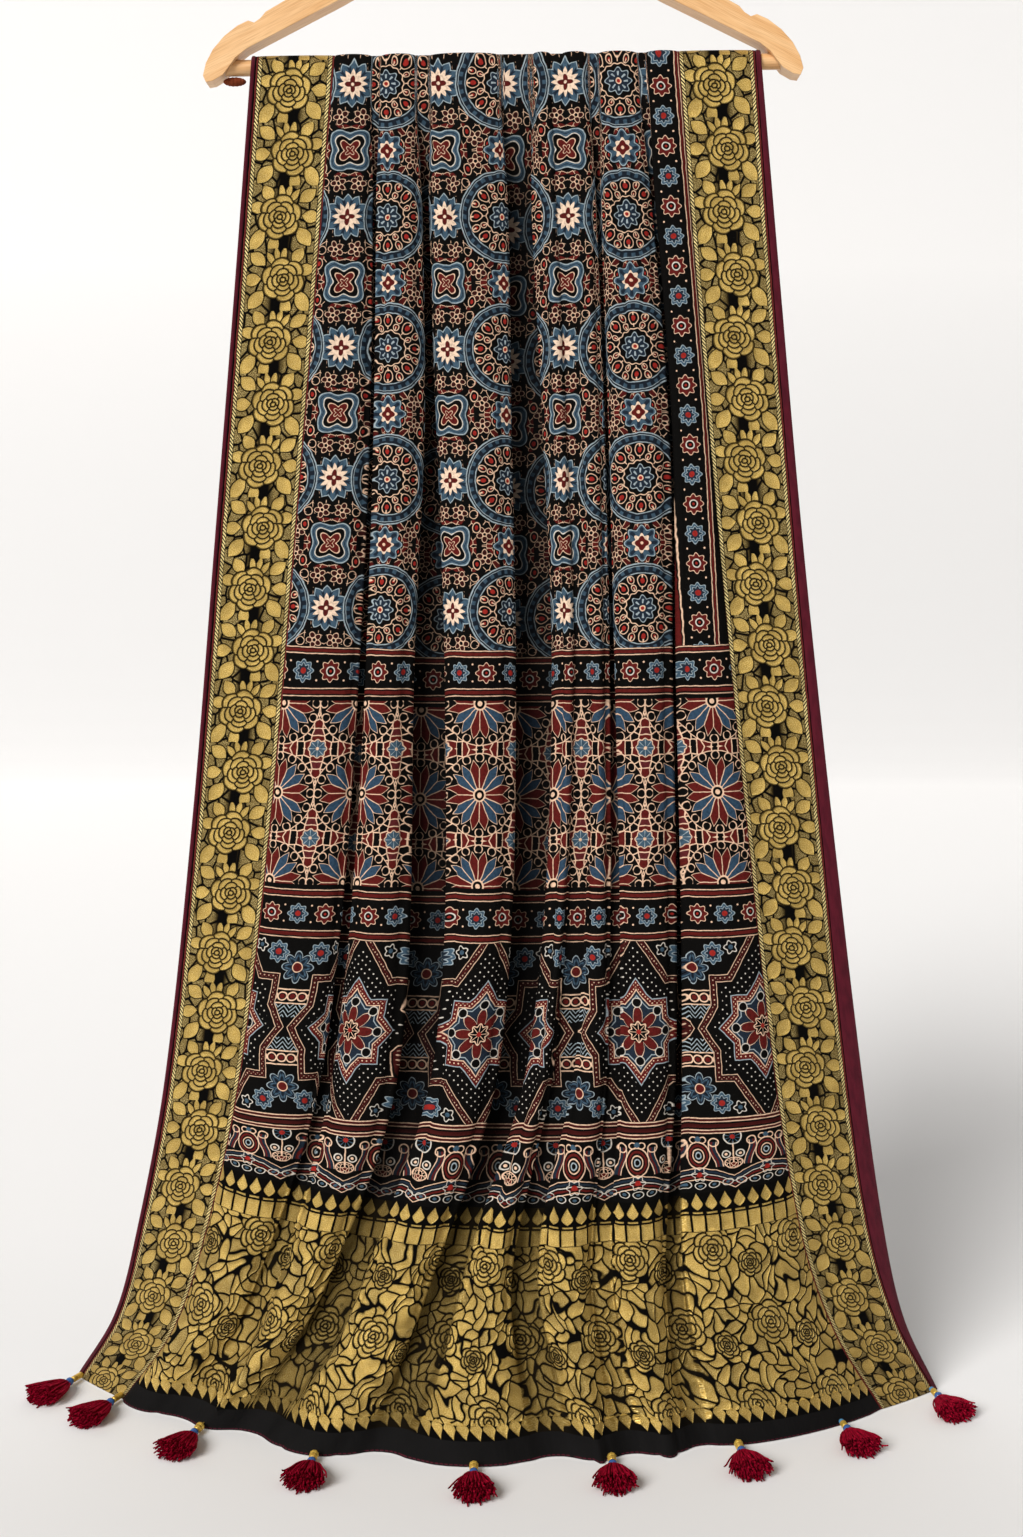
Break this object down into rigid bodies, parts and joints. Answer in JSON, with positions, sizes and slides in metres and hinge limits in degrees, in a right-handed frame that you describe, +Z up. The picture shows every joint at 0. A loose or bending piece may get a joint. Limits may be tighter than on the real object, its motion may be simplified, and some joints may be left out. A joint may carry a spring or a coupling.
{
  "type": "ajrakh cloth on a wooden hanger",
  "caption": "Block-printed cloth with brocade side borders, narrow bindings and beaded tassels, draped over the bar of a wooden clothes hanger, its hem spread at floor level.",
  "frame": {"origin": "the seat inside the top of the hanger's hook, where a rail carries it", "axes": "+Z up, -Y toward the printed front, +X to the right as seen from the front"},
  "size_m": [0.733, 0.2264, 1.2289],
  "materials": {
    "printed_cloth": "matte block print, black ground",
    "gold_brocade": "gold thread brocade",
    "binding": "plain maroon cloth",
    "tassel_yarn": "crimson yarn",
    "wood": "satin lacquer",
    "hook_metal": "polished",
    "thread": "wound thread"
  },
  "bodies": {
    "root": {"cloth": "printed_cloth", "border_left": "gold_brocade", "border_right": "gold_brocade", "binding_left": "binding", "binding_right": "binding", "hanger_body": "wood", "hanger_bar": "wood", "hanger_hook": "hook_metal", "hanger_thread": "thread", "tassel_1": "tassel_yarn", "tassel_2": "tassel_yarn", "tassel_3": "tassel_yarn", "tassel_4": "tassel_yarn", "tassel_5": "tassel_yarn", "tassel_6": "tassel_yarn", "tassel_7": "tassel_yarn", "tassel_8": "tassel_yarn", "tassel_9": "tassel_yarn"}
  },
  "joints": []
}
